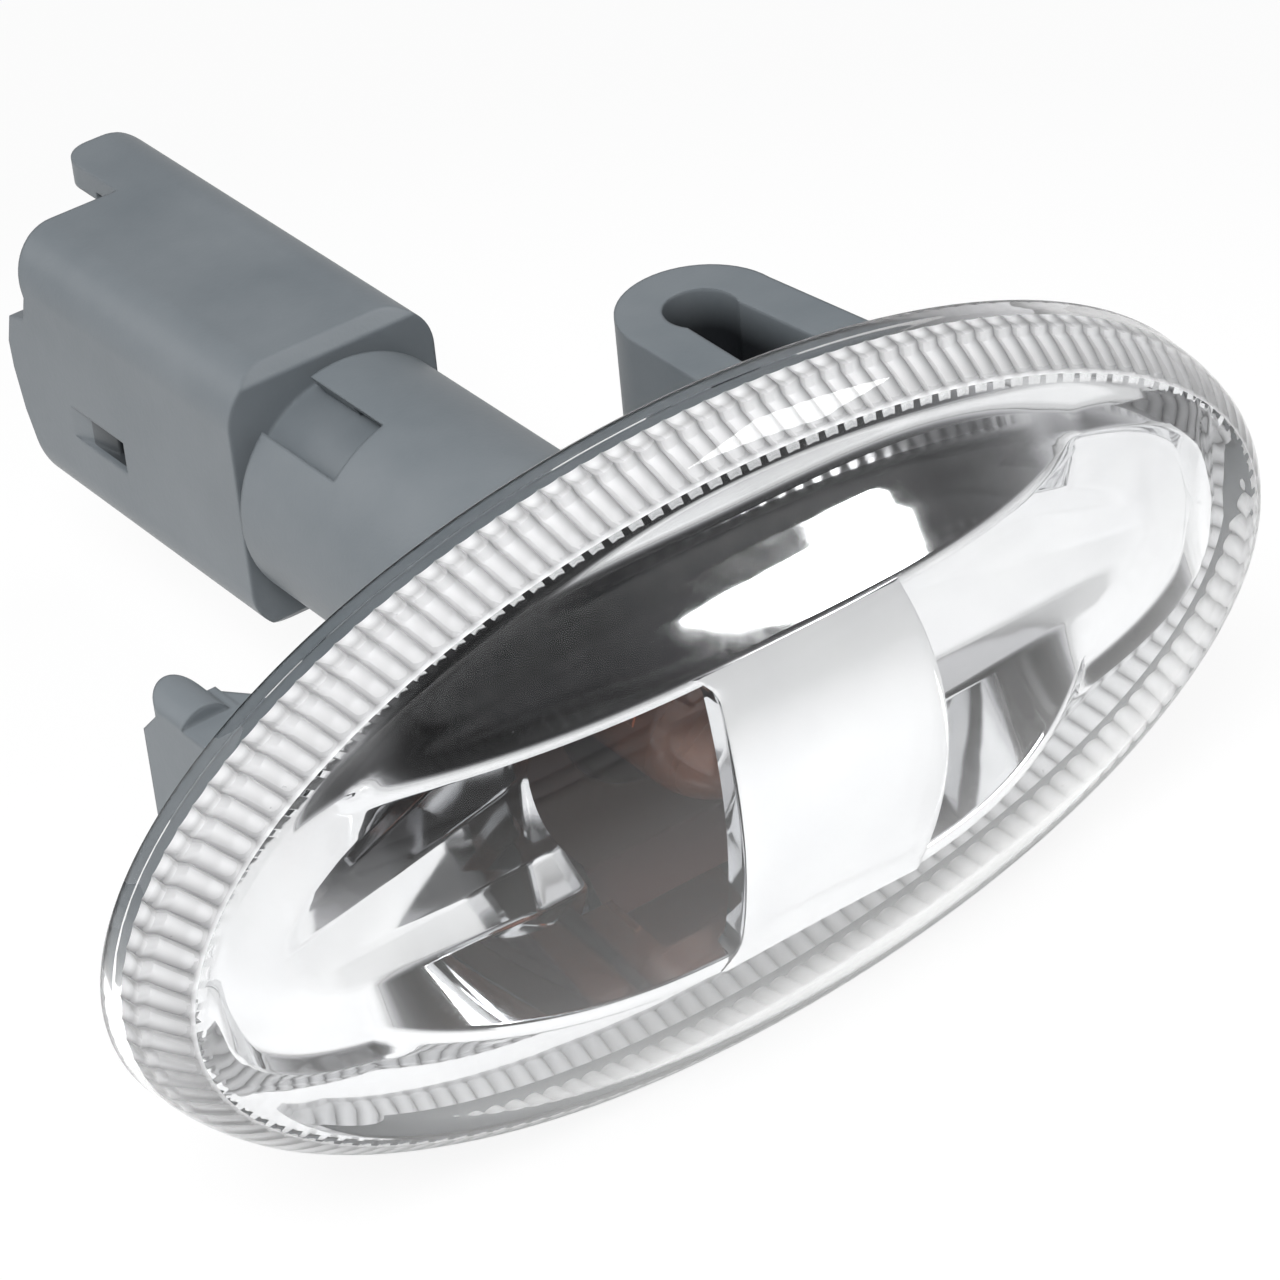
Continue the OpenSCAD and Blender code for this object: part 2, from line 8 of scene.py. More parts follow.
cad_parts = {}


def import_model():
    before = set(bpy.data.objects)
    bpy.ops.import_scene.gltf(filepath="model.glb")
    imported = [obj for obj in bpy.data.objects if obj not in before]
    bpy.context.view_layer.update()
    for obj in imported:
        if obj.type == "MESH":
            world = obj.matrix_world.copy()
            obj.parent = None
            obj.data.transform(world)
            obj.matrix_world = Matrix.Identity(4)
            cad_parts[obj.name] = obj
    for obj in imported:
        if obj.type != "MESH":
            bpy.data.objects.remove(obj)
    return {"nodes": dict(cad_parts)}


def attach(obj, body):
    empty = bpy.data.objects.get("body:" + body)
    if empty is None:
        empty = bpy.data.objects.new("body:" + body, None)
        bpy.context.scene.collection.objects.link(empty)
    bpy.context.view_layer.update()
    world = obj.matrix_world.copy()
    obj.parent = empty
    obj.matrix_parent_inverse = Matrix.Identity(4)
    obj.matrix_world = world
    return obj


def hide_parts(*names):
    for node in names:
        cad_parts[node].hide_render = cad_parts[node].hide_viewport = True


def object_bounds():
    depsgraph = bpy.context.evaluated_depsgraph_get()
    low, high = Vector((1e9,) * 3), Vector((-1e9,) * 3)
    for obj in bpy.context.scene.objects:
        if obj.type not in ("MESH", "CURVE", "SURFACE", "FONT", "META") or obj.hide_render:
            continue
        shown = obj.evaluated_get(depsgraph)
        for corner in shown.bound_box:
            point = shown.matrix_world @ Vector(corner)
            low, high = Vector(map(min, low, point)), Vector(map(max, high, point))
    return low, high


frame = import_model()
LOW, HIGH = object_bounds()
NODES = frame["nodes"]
MM = 0.001


# Node helpers
def socket(node, name, value):
    node.inputs[name].default_value = value


def node_of_type(nt, kind):
    return next(n for n in nt.nodes if n.type == kind)


def new_material(name):
    m = bpy.data.materials.new(name)
    m.use_nodes = True
    return m, m.node_tree, node_of_type(m.node_tree, "BSDF_PRINCIPLED")


def coords(nt):
    return nt.nodes.new("ShaderNodeTexCoord").outputs["Object"]


def axes(nt, vector):
    split = nt.nodes.new("ShaderNodeSeparateXYZ")
    nt.links.new(vector, split.inputs[0])
    return [split.outputs[i] for i in range(3)]


def noise(nt, co, scale, detail=3.0, rough=0.5):
    n = nt.nodes.new("ShaderNodeTexNoise")
    nt.links.new(co, n.inputs["Vector"])
    socket(n, "Scale", scale)
    socket(n, "Detail", detail)
    socket(n, "Roughness", rough)
    return n.outputs["Fac"]


def ramp(nt, fac, stops):
    r = nt.nodes.new("ShaderNodeValToRGB")
    nt.links.new(fac, r.inputs["Fac"])
    elements = r.color_ramp.elements
    while len(elements) < len(stops):
        elements.new(0.5)
    for element, (position, colour) in zip(elements, stops):
        element.position = position
        element.color = (*colour, 1.0)
    return r.outputs["Color"]


def remap(nt, value, to_min, to_max, from_min=0.0, from_max=1.0):
    n = nt.nodes.new("ShaderNodeMapRange")
    nt.links.new(value, n.inputs["Value"])
    socket(n, "From Min", from_min)
    socket(n, "From Max", from_max)
    socket(n, "To Min", to_min)
    socket(n, "To Max", to_max)
    return n.outputs["Result"]


def math_node(nt, operation, a, b):
    n = nt.nodes.new("ShaderNodeMath")
    n.operation = operation
    for i, v in enumerate((a, b)):
        if isinstance(v, float):
            n.inputs[i].default_value = v
        else:
            nt.links.new(v, n.inputs[i])
    return n.outputs[0]


def mix_shaders(nt, fac, first, second):
    mix = nt.nodes.new("ShaderNodeMixShader")
    nt.links.new(fac, mix.inputs["Fac"])
    nt.links.new(first, mix.inputs[1])
    nt.links.new(second, mix.inputs[2])
    return mix.outputs["Shader"]


def bump(nt, bsdf, fac, strength, distance, normal=None):
    b = nt.nodes.new("ShaderNodeBump")
    nt.links.new(fac, b.inputs["Height"])
    socket(b, "Strength", strength)
    socket(b, "Distance", distance)
    if normal is not None:
        nt.links.new(normal, b.inputs["Normal"])
    nt.links.new(b.outputs["Normal"], bsdf.inputs["Normal"])


def colour_by(nt, bsdf, fac, stops):
    nt.links.new(ramp(nt, fac, stops), bsdf.inputs["Base Color"])


def roughness_by(nt, bsdf, fac, low, high):
    nt.links.new(remap(nt, fac, low, high), bsdf.inputs["Roughness"])


# Materials, all procedural, with lengths in metres and noise scales in waves per metre
DARK_AT, LIGHT_AT = 0.3, 0.7
SMOOTHER, ROUGHER = 0.06, 0.08
EDGE_RADIUS, EDGE_SAMPLES = 0.0004, 4
ACRYLIC_IOR, GLASS_IOR = 1.49, 1.45
FILM_ROUGHNESS = 0.015
SHADOW_TINT = 0.97


def plastic(name, dark, light, roughness):
    m, nt, bsdf = new_material(name)
    co = coords(nt)
    broad = noise(nt, co, 90.0, 4.0, 0.6)
    grain = noise(nt, co, 2600.0, 3.0, 0.65)
    colour_by(nt, bsdf, broad, [(DARK_AT, dark), (LIGHT_AT, light)])
    roughness_by(nt, bsdf, broad, roughness - SMOOTHER, roughness + ROUGHER)
    edge = nt.nodes.new("ShaderNodeBevel")
    edge.samples = EDGE_SAMPLES
    socket(edge, "Radius", EDGE_RADIUS)
    bump(nt, bsdf, grain, 0.22, 0.00006, edge.outputs["Normal"])
    return m


def chrome(name):
    m, nt, bsdf = new_material(name)
    co = coords(nt)
    socket(bsdf, "Metallic", 1.0)
    broad = noise(nt, co, 160.0, 2.0, 0.5)
    colour_by(nt, bsdf, broad, [(0.2, (0.8, 0.805, 0.82)), (0.8, (0.86, 0.865, 0.87))])
    roughness_by(nt, bsdf, noise(nt, co, 900.0, 3.0), 0.03, 0.09)
    bump(nt, bsdf, broad, 0.12, 0.0002)
    return m


def clear(name, tint, ior, weight=1.0):
    """Glass or clear plastic that lets its shadow through."""
    m, nt, bsdf = new_material(name)
    co = coords(nt)
    socket(bsdf, "Base Color", (*tint, 1.0))
    socket(bsdf, "Transmission Weight", weight)
    socket(bsdf, "IOR", ior)
    wave = noise(nt, co, 60.0, 1.0)
    roughness_by(nt, bsdf, wave, 0.0, FILM_ROUGHNESS)
    bump(nt, bsdf, wave, 0.05, 0.0002)
    path = nt.nodes.new("ShaderNodeLightPath")
    thin = nt.nodes.new("ShaderNodeBsdfTransparent")
    socket(thin, "Color", (*[min(1.0, c * SHADOW_TINT) for c in tint], 1.0))
    surface = mix_shaders(nt, path.outputs["Is Shadow Ray"], bsdf.outputs["BSDF"],
                          thin.outputs["BSDF"])
    nt.links.new(surface, node_of_type(nt, "OUTPUT_MATERIAL").inputs["Surface"])
    return m


def metal(name, dark, light, roughness):
    m, nt, bsdf = new_material(name)
    co = coords(nt)
    socket(bsdf, "Metallic", 1.0)
    grain = noise(nt, co, 1500.0, 4.0)
    colour_by(nt, bsdf, grain, [(DARK_AT, dark), (LIGHT_AT, light)])
    roughness_by(nt, bsdf, grain, roughness - SMOOTHER, roughness + ROUGHER)
    bump(nt, bsdf, grain, 0.15, 0.00005)
    return m


def frosted(name, roughness):
    """The pale flutes: mostly white and a quarter clear, with painted shade that greys them
    between the bars.
    """
    m, nt, bsdf = new_material(name)
    co = coords(nt)
    grain = noise(nt, co, 1800.0, 2.0)
    painted_shade = nt.nodes.new("ShaderNodeAttribute")
    painted_shade.attribute_name = "bar_painted_shade"
    colour_by(nt, bsdf, painted_shade.outputs["Fac"],
              [(0.0, (0.17, 0.17, 0.175)), (1.0, (0.92, 0.92, 0.93))])
    socket(bsdf, "Transmission Weight", 0.25)
    socket(bsdf, "IOR", ACRYLIC_IOR)
    roughness_by(nt, bsdf, grain, roughness, roughness + 0.1)
    bump(nt, bsdf, grain, 0.1, 0.00004)
    return m


# Painted shade inside the mouldings: half sizes in X and Z, and limits in Y
CHAMBER = (HIGH.x - 0.0118, 0.0123)
BORE = (0.00715, 0.00715)
SOCKET = (0.0075, 0.0092)
CHAMBER_FROM, CHAMBER_TO = -0.0012, 0.0053
NECK_TO, CORE_TO = 0.014, 0.0146
SOCKET_FROM, SOCKET_TO, SOCKET_FADE, SOCKET_POWER = 0.0472, 0.0622, 0.009, 6.0
SHARP_FADE = 0.00002
# Painted shade in the slot of the spring clip: a round eye and the gap between the legs, then
# limits in Z
CLIP_X, CLIP_BEND_Y, CLIP_FOOT_Y = 0.0227, 0.0283, 0.0068
CLIP_EYE, CLIP_GAP_OFF, CLIP_GAP_HALF, CLIP_GAP_POWER = 0.0033, 0.0009, 0.0039, 20.0
CLIP_DARK_Z, CLIP_LIGHT_Z = 0.003, 0.0059
PAINTED_AMBER_SHADE, SOCKET_SHADE, SLOT_SHADE = (0.42, 0.16, 0.11), (0.3, 0.3, 0.3), (0.08, 0.08, 0.085)


def inside_oval(nt, a, a_mid, a_half, b, b_mid, b_half, power=2.0):
    parts = []
    for v, mid, half in ((a, a_mid, a_half), (b, b_mid, b_half)):
        share = math_node(nt, "DIVIDE", math_node(nt, "SUBTRACT", v, mid), half)
        parts.append(math_node(nt, "POWER", share, power))
    return math_node(nt, "LESS_THAN", math_node(nt, "ADD", *parts), 1.0)


def darken(nt, inside, tint):
    """Multiplies the base colour by the tint, as far as inside is 1."""
    colour = node_of_type(nt, "BSDF_PRINCIPLED").inputs["Base Color"]
    mix = nt.nodes.new("ShaderNodeMixRGB")
    mix.blend_type = "MULTIPLY"
    nt.links.new(inside, mix.inputs["Fac"])
    nt.links.new(colour.links[0].from_socket, mix.inputs["Color1"])
    socket(mix, "Color2", (*tint, 1.0))
    nt.links.new(mix.outputs["Color"], colour)


def shade_inside(m, low, high, oval_half, tint, fade=SHARP_FADE, power=2.0):
    """Darkens a moulding inside a hollow along Y, where little light comes."""
    nt = m.node_tree
    x, y, z = axes(nt, coords(nt))
    inside = math_node(nt, "MULTIPLY", remap(nt, y, 1.0, 0.0, high - fade, high),
                       math_node(nt, "GREATER_THAN", y, low))
    oval = inside_oval(nt, x, 0.0, oval_half[0], z, 0.0, oval_half[1], power)
    darken(nt, math_node(nt, "MULTIPLY", inside, oval), tint)


def shade_slot(m, mid_x, bend_y, foot_y, tint):
    """Paints shade into the slot of the spring clip, darker towards the middle of its height."""
    nt = m.node_tree
    x, y, z = axes(nt, coords(nt))
    eye = inside_oval(nt, x, mid_x, CLIP_EYE, y, bend_y, CLIP_EYE)
    gap = inside_oval(nt, x, mid_x + CLIP_GAP_OFF, CLIP_GAP_HALF,
                      y, (bend_y + foot_y) / 2, (bend_y - foot_y) / 2, CLIP_GAP_POWER)
    depth = remap(nt, math_node(nt, "MULTIPLY", z, z), 1.0, 0.0,
                  CLIP_DARK_Z ** 2, CLIP_LIGHT_Z ** 2)
    darken(nt, math_node(nt, "MULTIPLY", math_node(nt, "MAXIMUM", eye, gap), depth), tint)


GREY = plastic("grey_plastic", (0.117, 0.134, 0.147), (0.145, 0.161, 0.174), 0.42)
GREY_HOLDER = plastic("holder_plastic", (0.114, 0.13, 0.143), (0.141, 0.157, 0.17), 0.38)
# Painted shade with a painted amber cast of the bulb's light: behind the reflector, in the neck's
# bore and on the front of the holder's core
shade_inside(GREY, CHAMBER_FROM, CHAMBER_TO, CHAMBER, PAINTED_AMBER_SHADE)
shade_inside(GREY, CHAMBER_TO, NECK_TO, BORE, PAINTED_AMBER_SHADE)
shade_inside(GREY_HOLDER, 0.0, CORE_TO, BORE, PAINTED_AMBER_SHADE)
# Painted shade inside the holder's socket, seen through the latch window
shade_inside(GREY_HOLDER, SOCKET_FROM, SOCKET_TO, SOCKET, SOCKET_SHADE, SOCKET_FADE, SOCKET_POWER)
shade_slot(GREY, CLIP_X, CLIP_BEND_Y, CLIP_FOOT_Y, SLOT_SHADE)
CHROME = chrome("mirror_coat")
CLEAR = clear("clear_lens", (0.99, 0.992, 0.992), ACRYLIC_IOR)
FLUTED = frosted("fluted_band", 0.25)
AMBER = clear("amber_glass", (0.8, 0.36, 0.2), GLASS_IOR, 0.88)
RUBBER = plastic("seal_rubber", (0.02, 0.02, 0.02), (0.035, 0.035, 0.035), 0.7)
TINNED = metal("contact_metal", (0.62, 0.6, 0.52), (0.75, 0.73, 0.66), 0.3)
WIRE = metal("lead_wire", (0.45, 0.44, 0.42), (0.6, 0.59, 0.56), 0.3)
TUNGSTEN = metal("filament_wire", (0.2, 0.19, 0.18), (0.32, 0.31, 0.3), 0.4)
BY_NODE = {
    "lens": CLEAR, "reflector": CHROME, "housing": GREY, "bulb_holder": GREY_HOLDER,
    "neck_seal": RUBBER, "terminal_left": TINNED, "terminal_right": TINNED, "bulb_glass": AMBER,
    "filament": TUNGSTEN, "lead_wire_left": WIRE, "lead_wire_right": WIRE,
}
for node_name, node_material in BY_NODE.items():
    slots = NODES[node_name].data.materials
    slots.clear()
    slots.append(node_material)


# Mesh helpers: points in millimetres, in the row frame
def mesh_object(name, verts, faces):
    mesh = bpy.data.meshes.new(name)
    mesh.from_pydata([tuple(c * MM for c in v) for v in verts], [], faces)
    return bpy.data.objects.new(name, mesh)


def piece(name, verts, faces, material, body, node):
    o = mesh_object(name, verts, faces)
    o.data.validate()
    bpy.context.scene.collection.objects.link(o)
    o.data.materials.append(material)
    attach(o, body)
    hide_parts(node)
    return o


def face_outwards(mesh):
    bm = bmesh.new()
    bm.from_mesh(mesh)
    bmesh.ops.recalc_face_normals(bm, faces=bm.faces)
    bm.to_mesh(mesh)
    bm.free()


def smooth(o, angle, weighted=True):
    """Smooth shading up to the angle in degrees, with sharp edges above it."""
    face_outwards(o.data)
    bm = bmesh.new()
    bm.from_mesh(o.data)
    for f in bm.faces:
        f.smooth = True
    for e in bm.edges:
        e.smooth = len(e.link_faces) == 2 and e.calc_face_angle(0.0) < math.radians(angle)
    bm.to_mesh(o.data)
    bm.free()
    if weighted:
        o.modifiers.new("normals", "WEIGHTED_NORMAL").keep_sharp = True


def circle(radius, y, count):
    turn = 2 * math.pi
    return [(radius * math.cos(turn * i / count), y, radius * math.sin(turn * i / count))
            for i in range(count)]


def tube_faces(rings, count, capped=True):
    faces = [(q * count + i, q * count + (i + 1) % count,
              (q + 1) * count + (i + 1) % count, (q + 1) * count + i)
             for q in range(rings - 1) for i in range(count)]
    if capped:
        faces.append(tuple(range(count)))
        faces.append(tuple((rings - 1) * count + i for i in reversed(range(count))))
    return faces


def box_mesh(name, low, high):
    verts = [(x, y, z) for x in (low[0], high[0]) for y in (low[1], high[1])
             for z in (low[2], high[2])]
    faces = [(0, 1, 3, 2), (4, 6, 7, 5), (0, 4, 5, 1), (2, 3, 7, 6), (0, 2, 6, 4), (1, 5, 7, 3)]
    return mesh_object(name, verts, faces)


def turned(name, profile, count=96):
    """A closed solid turned about Y from (radius, y) pairs that start and end on the axis."""
    ring = [(r, y) for r, y in profile if r > 0]
    verts = [v for r, y in ring for v in circle(r, y, count)]
    return mesh_object(name, verts, tube_faces(len(ring), count))


def carve(o, cutters, operation="DIFFERENCE"):
    """Cuts the cutters from o, or joins them to it, and removes them."""
    bpy.context.view_layer.update()
    for c in cutters:
        bpy.context.scene.collection.objects.link(c)
        face_outwards(c.data)
        mod = o.modifiers.new("cut", "BOOLEAN")
        mod.operation, mod.solver, mod.object = operation, "EXACT", c
    depsgraph = bpy.context.evaluated_depsgraph_get()
    done = bpy.data.meshes.new_from_object(o.evaluated_get(depsgraph))
    o.modifiers.clear()
    o.data = done
    for c in cutters:
        bpy.data.objects.remove(c)


def even_angles(a, b, count):
    """Angles that give evenly spaced points around an ellipse."""
    t = np.linspace(0, 2 * math.pi, 7201)
    x, z = a * np.cos(t), b * np.sin(t)
    d = np.concatenate([[0], np.cumsum(np.hypot(np.diff(x), np.diff(z)))])
    return np.interp(np.arange(count) / count * d[-1], d, t)


def along(points, per):
    """Points along a polyline, eased at its corners."""
    p = np.array(points, float)
    out = [p[0]]
    for i in range(len(p) - 1):
        p0, p1, p2, p3 = p[max(i - 1, 0)], p[i], p[i + 1], p[min(i + 2, len(p) - 1)]
        for k in range(1, per + 1):
            t = k / per
            out.append(0.5 * (2 * p1 + (p2 - p0) * t + (2 * p0 - 5 * p1 + 4 * p2 - p3) * t * t
                              + (3 * p1 - p0 - 3 * p2 + p3) * t ** 3))
    return out


# The lens: smooth outer skin, half-round flutes inside the skirt.
# Its profiles are (inset from the outline, height above the panel) pairs.
LENS_A, LENS_B = HIGH.x / MM, HIGH.z / MM
FLUTES, PER_FLUTE, FLUTE_DEPTH = 136, 8, 0.5
RISE, WALL = -LOW.y / MM, 1.6
SKIRT_OUTSIDE = [(0, 0), (0.1, 0.7), (0.15, 1.2), (0.3, 2.3), (0.8, 4.0), (1.6, 5.3), (2.6, 6.3)]
SKIRT_FOOT = [(WALL, 0.0), (WALL, 0.6), (WALL, 1.0)]
BAND_FOOT = [(WALL - 0.5, h) for h in (1.1, 1.2, 1.4, 1.8, 2.2)]
BAND_STEPS = 8
BAND_SIDE = [(WALL + 0.15 + 0.85 * k / BAND_STEPS, 2.45 + 2.55 * k / BAND_STEPS)
             for k in range(BAND_STEPS + 1)]
BAND = BAND_FOOT + BAND_SIDE
DOME_FOOT = [(WALL + 1.3, 5.2), (3.5, 5.25), (4.1, 5.4)]
DOME_TOP = RISE - WALL - 0.3
DOME_SPACING, DOME_POWER = 1.15, 2.36
OUTER_STEPS, INNER_STEPS = 14, 12
# How bright the painted shade leaves a bar at each height, and how bright it leaves its groove
# beside it
SHADE_HEIGHTS, BAR_SHADES = [1.1, 1.4, 1.75, 2.1, 3.2, 5.0], [1.0, 1.0, 0.55, 1.0, 0.9, 0.6]
GROOVE_SHADE, SHADE_POWER = 0.12, 1.6


def dome(inset, edge, top, steps):
    """Rows (inset, height, share of the outline) from the edge up to the top."""
    rows = []
    for k in range(1, steps):
        r = 1 - (k / steps) ** DOME_SPACING
        rows.append((inset, edge + (top - edge) * (1 - r ** DOME_POWER), r))
    return rows


def build_lens():
    cols = FLUTES * PER_FLUTE
    t = even_angles(LENS_A, LENS_B, cols)
    phase = (np.arange(cols) % PER_FLUTE) / PER_FLUTE
    bar = np.sqrt(np.clip(1 - (2 * phase - 1) ** 2, 0, 1))
    outer = [(inset, h, 1.0) for inset, h in along(SKIRT_OUTSIDE, 2)]
    outer += dome(*SKIRT_OUTSIDE[-1], RISE, OUTER_STEPS)
    inner = [(inset, h, 1.0) for inset, h in DOME_FOOT]
    inner += dome(*DOME_FOOT[-1], DOME_TOP, INNER_STEPS)
    rows = [(*row, 0.0) for row in outer]
    rows += [(inset, h, 1.0, 0.0) for inset, h in SKIRT_FOOT]
    for i, (inset, h) in enumerate(BAND):
        fade = min(1.0, (i + 1) / 3.0, len(BAND) - 1 - i + 0.35)
        rows.append((inset, h, 1.0, FLUTE_DEPTH * fade))
    rows += [(*row, 0.0) for row in inner]
    verts = []
    for inset, h, r, depth in rows:
        k = inset + depth * bar
        x = (LENS_A - k) * r * np.cos(t)
        z = (LENS_B - k) * r * np.sin(t)
        verts.extend(zip(x.tolist(), [-h] * cols, z.tolist()))
    faces, mats = [], []

    def strip(p, q, frost):
        for i in range(cols):
            j = (i + 1) % cols
            faces.append((p * cols + i, p * cols + j, q * cols + j, q * cols + i))
            mats.append(frost)

    n, n_outer = len(rows), len(outer)
    for r in range(n_outer - 1):
        strip(r, r + 1, 0)
    strip(n_outer, 0, 0)
    first = n_outer + len(SKIRT_FOOT)
    for r in range(n_outer, n - 1):
        strip(r + 1, r, 1 if first - 1 <= r < first + len(BAND) else 0)
    verts += [(0, -RISE, 0), (0, -DOME_TOP, 0)]
    for i in range(cols):
        j = (i + 1) % cols
        faces.append(((n_outer - 1) * cols + i, (n_outer - 1) * cols + j, len(verts) - 2))
        faces.append(((n - 1) * cols + j, (n - 1) * cols + i, len(verts) - 1))
        mats += [0, 0]
    o = piece("lens_fine", verts, faces, CLEAR, "lamp", "lens")
    o.data.materials.append(FLUTED)
    o.data.polygons.foreach_set("material_index", mats)
    # Painted shade on the flutes: grey in the grooves and darker at some heights along each bar
    painted_shade = np.ones((n, cols))
    for i, (_, h) in enumerate(BAND):
        along_bar = np.interp(h, SHADE_HEIGHTS, BAR_SHADES)
        painted_shade[first + i] = along_bar * (GROOVE_SHADE + (1 - GROOVE_SHADE) * bar ** SHADE_POWER)
    layer = o.data.attributes.new("bar_painted_shade", "FLOAT", "POINT")
    layer.data.foreach_set("value", np.concatenate([painted_shade.ravel(), [1.0, 1.0]]))
    smooth(o, 50, False)


# The reflector: the CAD section lofted finely, with eased corners.
# It has a flat land around an eye, a visor on both sides of the eye and a bowl at both ends.
LAND_Y, LAND_T, EYE_HALF, EYE_POWER = -2.8, 1.5, 9.6, 2.9
REFL_A, REFL_B = LENS_A - 3.3, LENS_B - 3.3
EYE = REFL_A - 3.2
VISOR_END, VISOR_W, VISOR_RISE, VISOR_T = EYE - 8.5, 4.8, 6.2, 2.4
BEAD_W, BEAD_H = 2.2, 0.9
LIP_HALF = 0.4
TROUGH, WINDOW, BOWL_T, SLOPE_T = 4.3, 11.4, 1.1, 0.8
BOWL_FROM = WINDOW + 1.1
RIM_Y = LAND_Y + TROUGH - 1.5
# The bowls' folds: z and y beside the window, then x and z where the fold reaches the land
FLOOR_FOLD = (0, LAND_Y + TROUGH, EYE - 3.5, 0)
INNER_FOLD = (EYE_HALF - 4.1, LAND_Y + TROUGH - 0.5, EYE - 4.8, 2)
OUTER_FOLD = (EYE_HALF - 1.4, RIM_Y, EYE - 7.5, 4.3)
LEAST_STEP, SECTION_EASE, SECTION_STEPS = 0.03, 0.3, 150
HOLE_PROFILE = [(0, RIM_Y - 1.6), (WINDOW + 2.3, RIM_Y - 1.6), (WINDOW + 0.3, RIM_Y + 0.55),
                (WINDOW, RIM_Y + 0.9), (WINDOW, 5), (0, 5)]
SLOT_HALF = 8.7
# The shield: sides in X, how far they curve, its bow towards the lens and its thickness
SHIELD_LEFT, SHIELD_RIGHT, SHIELD_FLARE, SHIELD_CURVE = -5.5, 9.7, 1.4, 1.7
SHIELD_HALF, SHIELD_BOW, SHIELD_T, SHIELD_ROWS, SHIELD_COLS = EYE_HALF + 0.3, 1.5, 1.9, 40, 14


def clamp(v):
    return max(0.0, min(1.0, v))


def eye_z(x, k):
    """Half height of the eye, grown by k."""
    return (EYE_HALF + k) * clamp(1 - (abs(x) / (EYE + k)) ** EYE_POWER) ** (1 / EYE_POWER)


def hump(x):
    return clamp(1 - abs(x / VISOR_END) ** EYE_POWER)


def bead_y(k):
    return 0.0 if k <= 0 or k >= BEAD_W else BEAD_H * math.sin(math.pi * k / BEAD_W)


def lip_y(x):
    past = abs(x) - EYE
    return LAND_Y - (bead_y(past) if past > 0 else VISOR_RISE * hump(x))


def bowl(x, z0, y0, x1, z1):
    """Where a fold of the bowl is at x, as (z, y)."""
    u = max(0.0, abs(x) - BOWL_FROM) / (x1 - BOWL_FROM)
    if u < 1:
        return z0 + (z1 - z0) * u, y0 + (LAND_Y - y0) * u
    return z1 * clamp((EYE - abs(x)) / (EYE - x1)), lip_y(x) if abs(x) > EYE else LAND_Y


def sections(x):
    """Upper halves of the front and back lines at x, as (z, y) from the outline inwards."""
    past, gap = abs(x) - EYE, LEAST_STEP
    k = BEAD_W + (VISOR_W - BEAD_W) * hump(x)
    floor = bowl(x, *FLOOR_FOLD)[1]
    a = bowl(x, *INNER_FOLD)
    b = bowl(x, *OUTER_FOLD)
    az = max(a[0], gap)
    bz = max(b[0], az + gap)
    lip_in = max(eye_z(x, 0) - LIP_HALF, bz + gap)
    lip_out = max(eye_z(x, 0) + LIP_HALF * clamp(-past), lip_in + gap)
    crown_z = max(eye_z(x, k / 2), lip_out + gap)
    foot_z = max(eye_z(x, k), crown_z + gap)
    half_up = max(BEAD_H, VISOR_RISE * hump(x) / 2 + 0.1)
    crown_y = LAND_Y - (bead_y(past) if past > k / 2 else half_up)
    outer = max(REFL_B * math.sqrt(max(0, 1 - (x / REFL_A) ** 2)), foot_z + gap)
    front = [(outer, LAND_Y), (foot_z, LAND_Y), (crown_z, crown_y), (lip_out, lip_y(x)),
             (lip_in, lip_y(x)), (bz, b[1]), (az, a[1]), (0, floor)]
    g, rear = clamp((EYE + 1 - abs(x)) / 4), LAND_Y + LAND_T
    back_az = az + 0.4 * g
    back_bz = max(bz + 1.2 * g, back_az + gap)
    back_lip = max(lip_out + 0.3 * g, back_bz + gap)
    back_foot = min(max(foot_z - 0.35 * g, back_lip + gap), outer - gap)
    back = [(outer, rear), (back_foot, rear), (back_lip, min(rear, lip_y(x) + VISOR_T)),
            (back_bz, max(rear, b[1] + SLOPE_T)), (back_az, max(rear, a[1] + BOWL_T)),
            (0, max(rear, floor + BOWL_T))]
    return front, back


def eased(line, r):
    """The whole section line from its upper half, with its corners cut and rounded."""
    whole = line + [(-z, y) for z, y in reversed(line[:-1])]
    p = [np.array(q, float) for q in whole]
    out = [p[0]]
    for i in range(1, len(p) - 1):
        d0, d1 = p[i - 1] - p[i], p[i + 1] - p[i]
        l0, l1 = max(np.linalg.norm(d0), 1e-6), max(np.linalg.norm(d1), 1e-6)
        e = min(r, 0.35 * l0, 0.35 * l1)
        a, b = p[i] + d0 / l0 * e, p[i] + d1 / l1 * e
        out += [a, 0.25 * a + 0.5 * p[i] + 0.25 * b, b]
    return out + [p[-1]]


def shield_mesh():
    half, thick, cols = SHIELD_HALF, SHIELD_T, SHIELD_COLS
    verts = []
    for r in range(SHIELD_ROWS + 1):
        z = -half + 2 * half * r / SHIELD_ROWS
        left = SHIELD_LEFT - SHIELD_FLARE * clamp((abs(z) - half + 2) / 2) ** 2
        right = SHIELD_RIGHT - SHIELD_CURVE * (z / half) ** 2
        y = lip_y(0) - SHIELD_BOW * (1 - (z / half) ** 2)
        section = [(left + 0.35, y), (left + 0.1, y + 0.12), (left, y + 0.4),
                   (left, y + thick - 0.3), (left + 0.3, y + thick)]
        section += [(left + (right - left) * c / cols, y + thick) for c in range(1, cols)]
        section += [(right - 0.3, y + thick), (right, y + thick - 0.3), (right, y + 0.4),
                    (right - 0.1, y + 0.12), (right - 0.35, y)]
        section += [(left + (right - left) * c / cols, y) for c in range(cols - 1, 0, -1)]
        verts += [(x, yy, z) for x, yy in section]
    return mesh_object("shield", verts, tube_faces(SHIELD_ROWS + 1, len(section)))


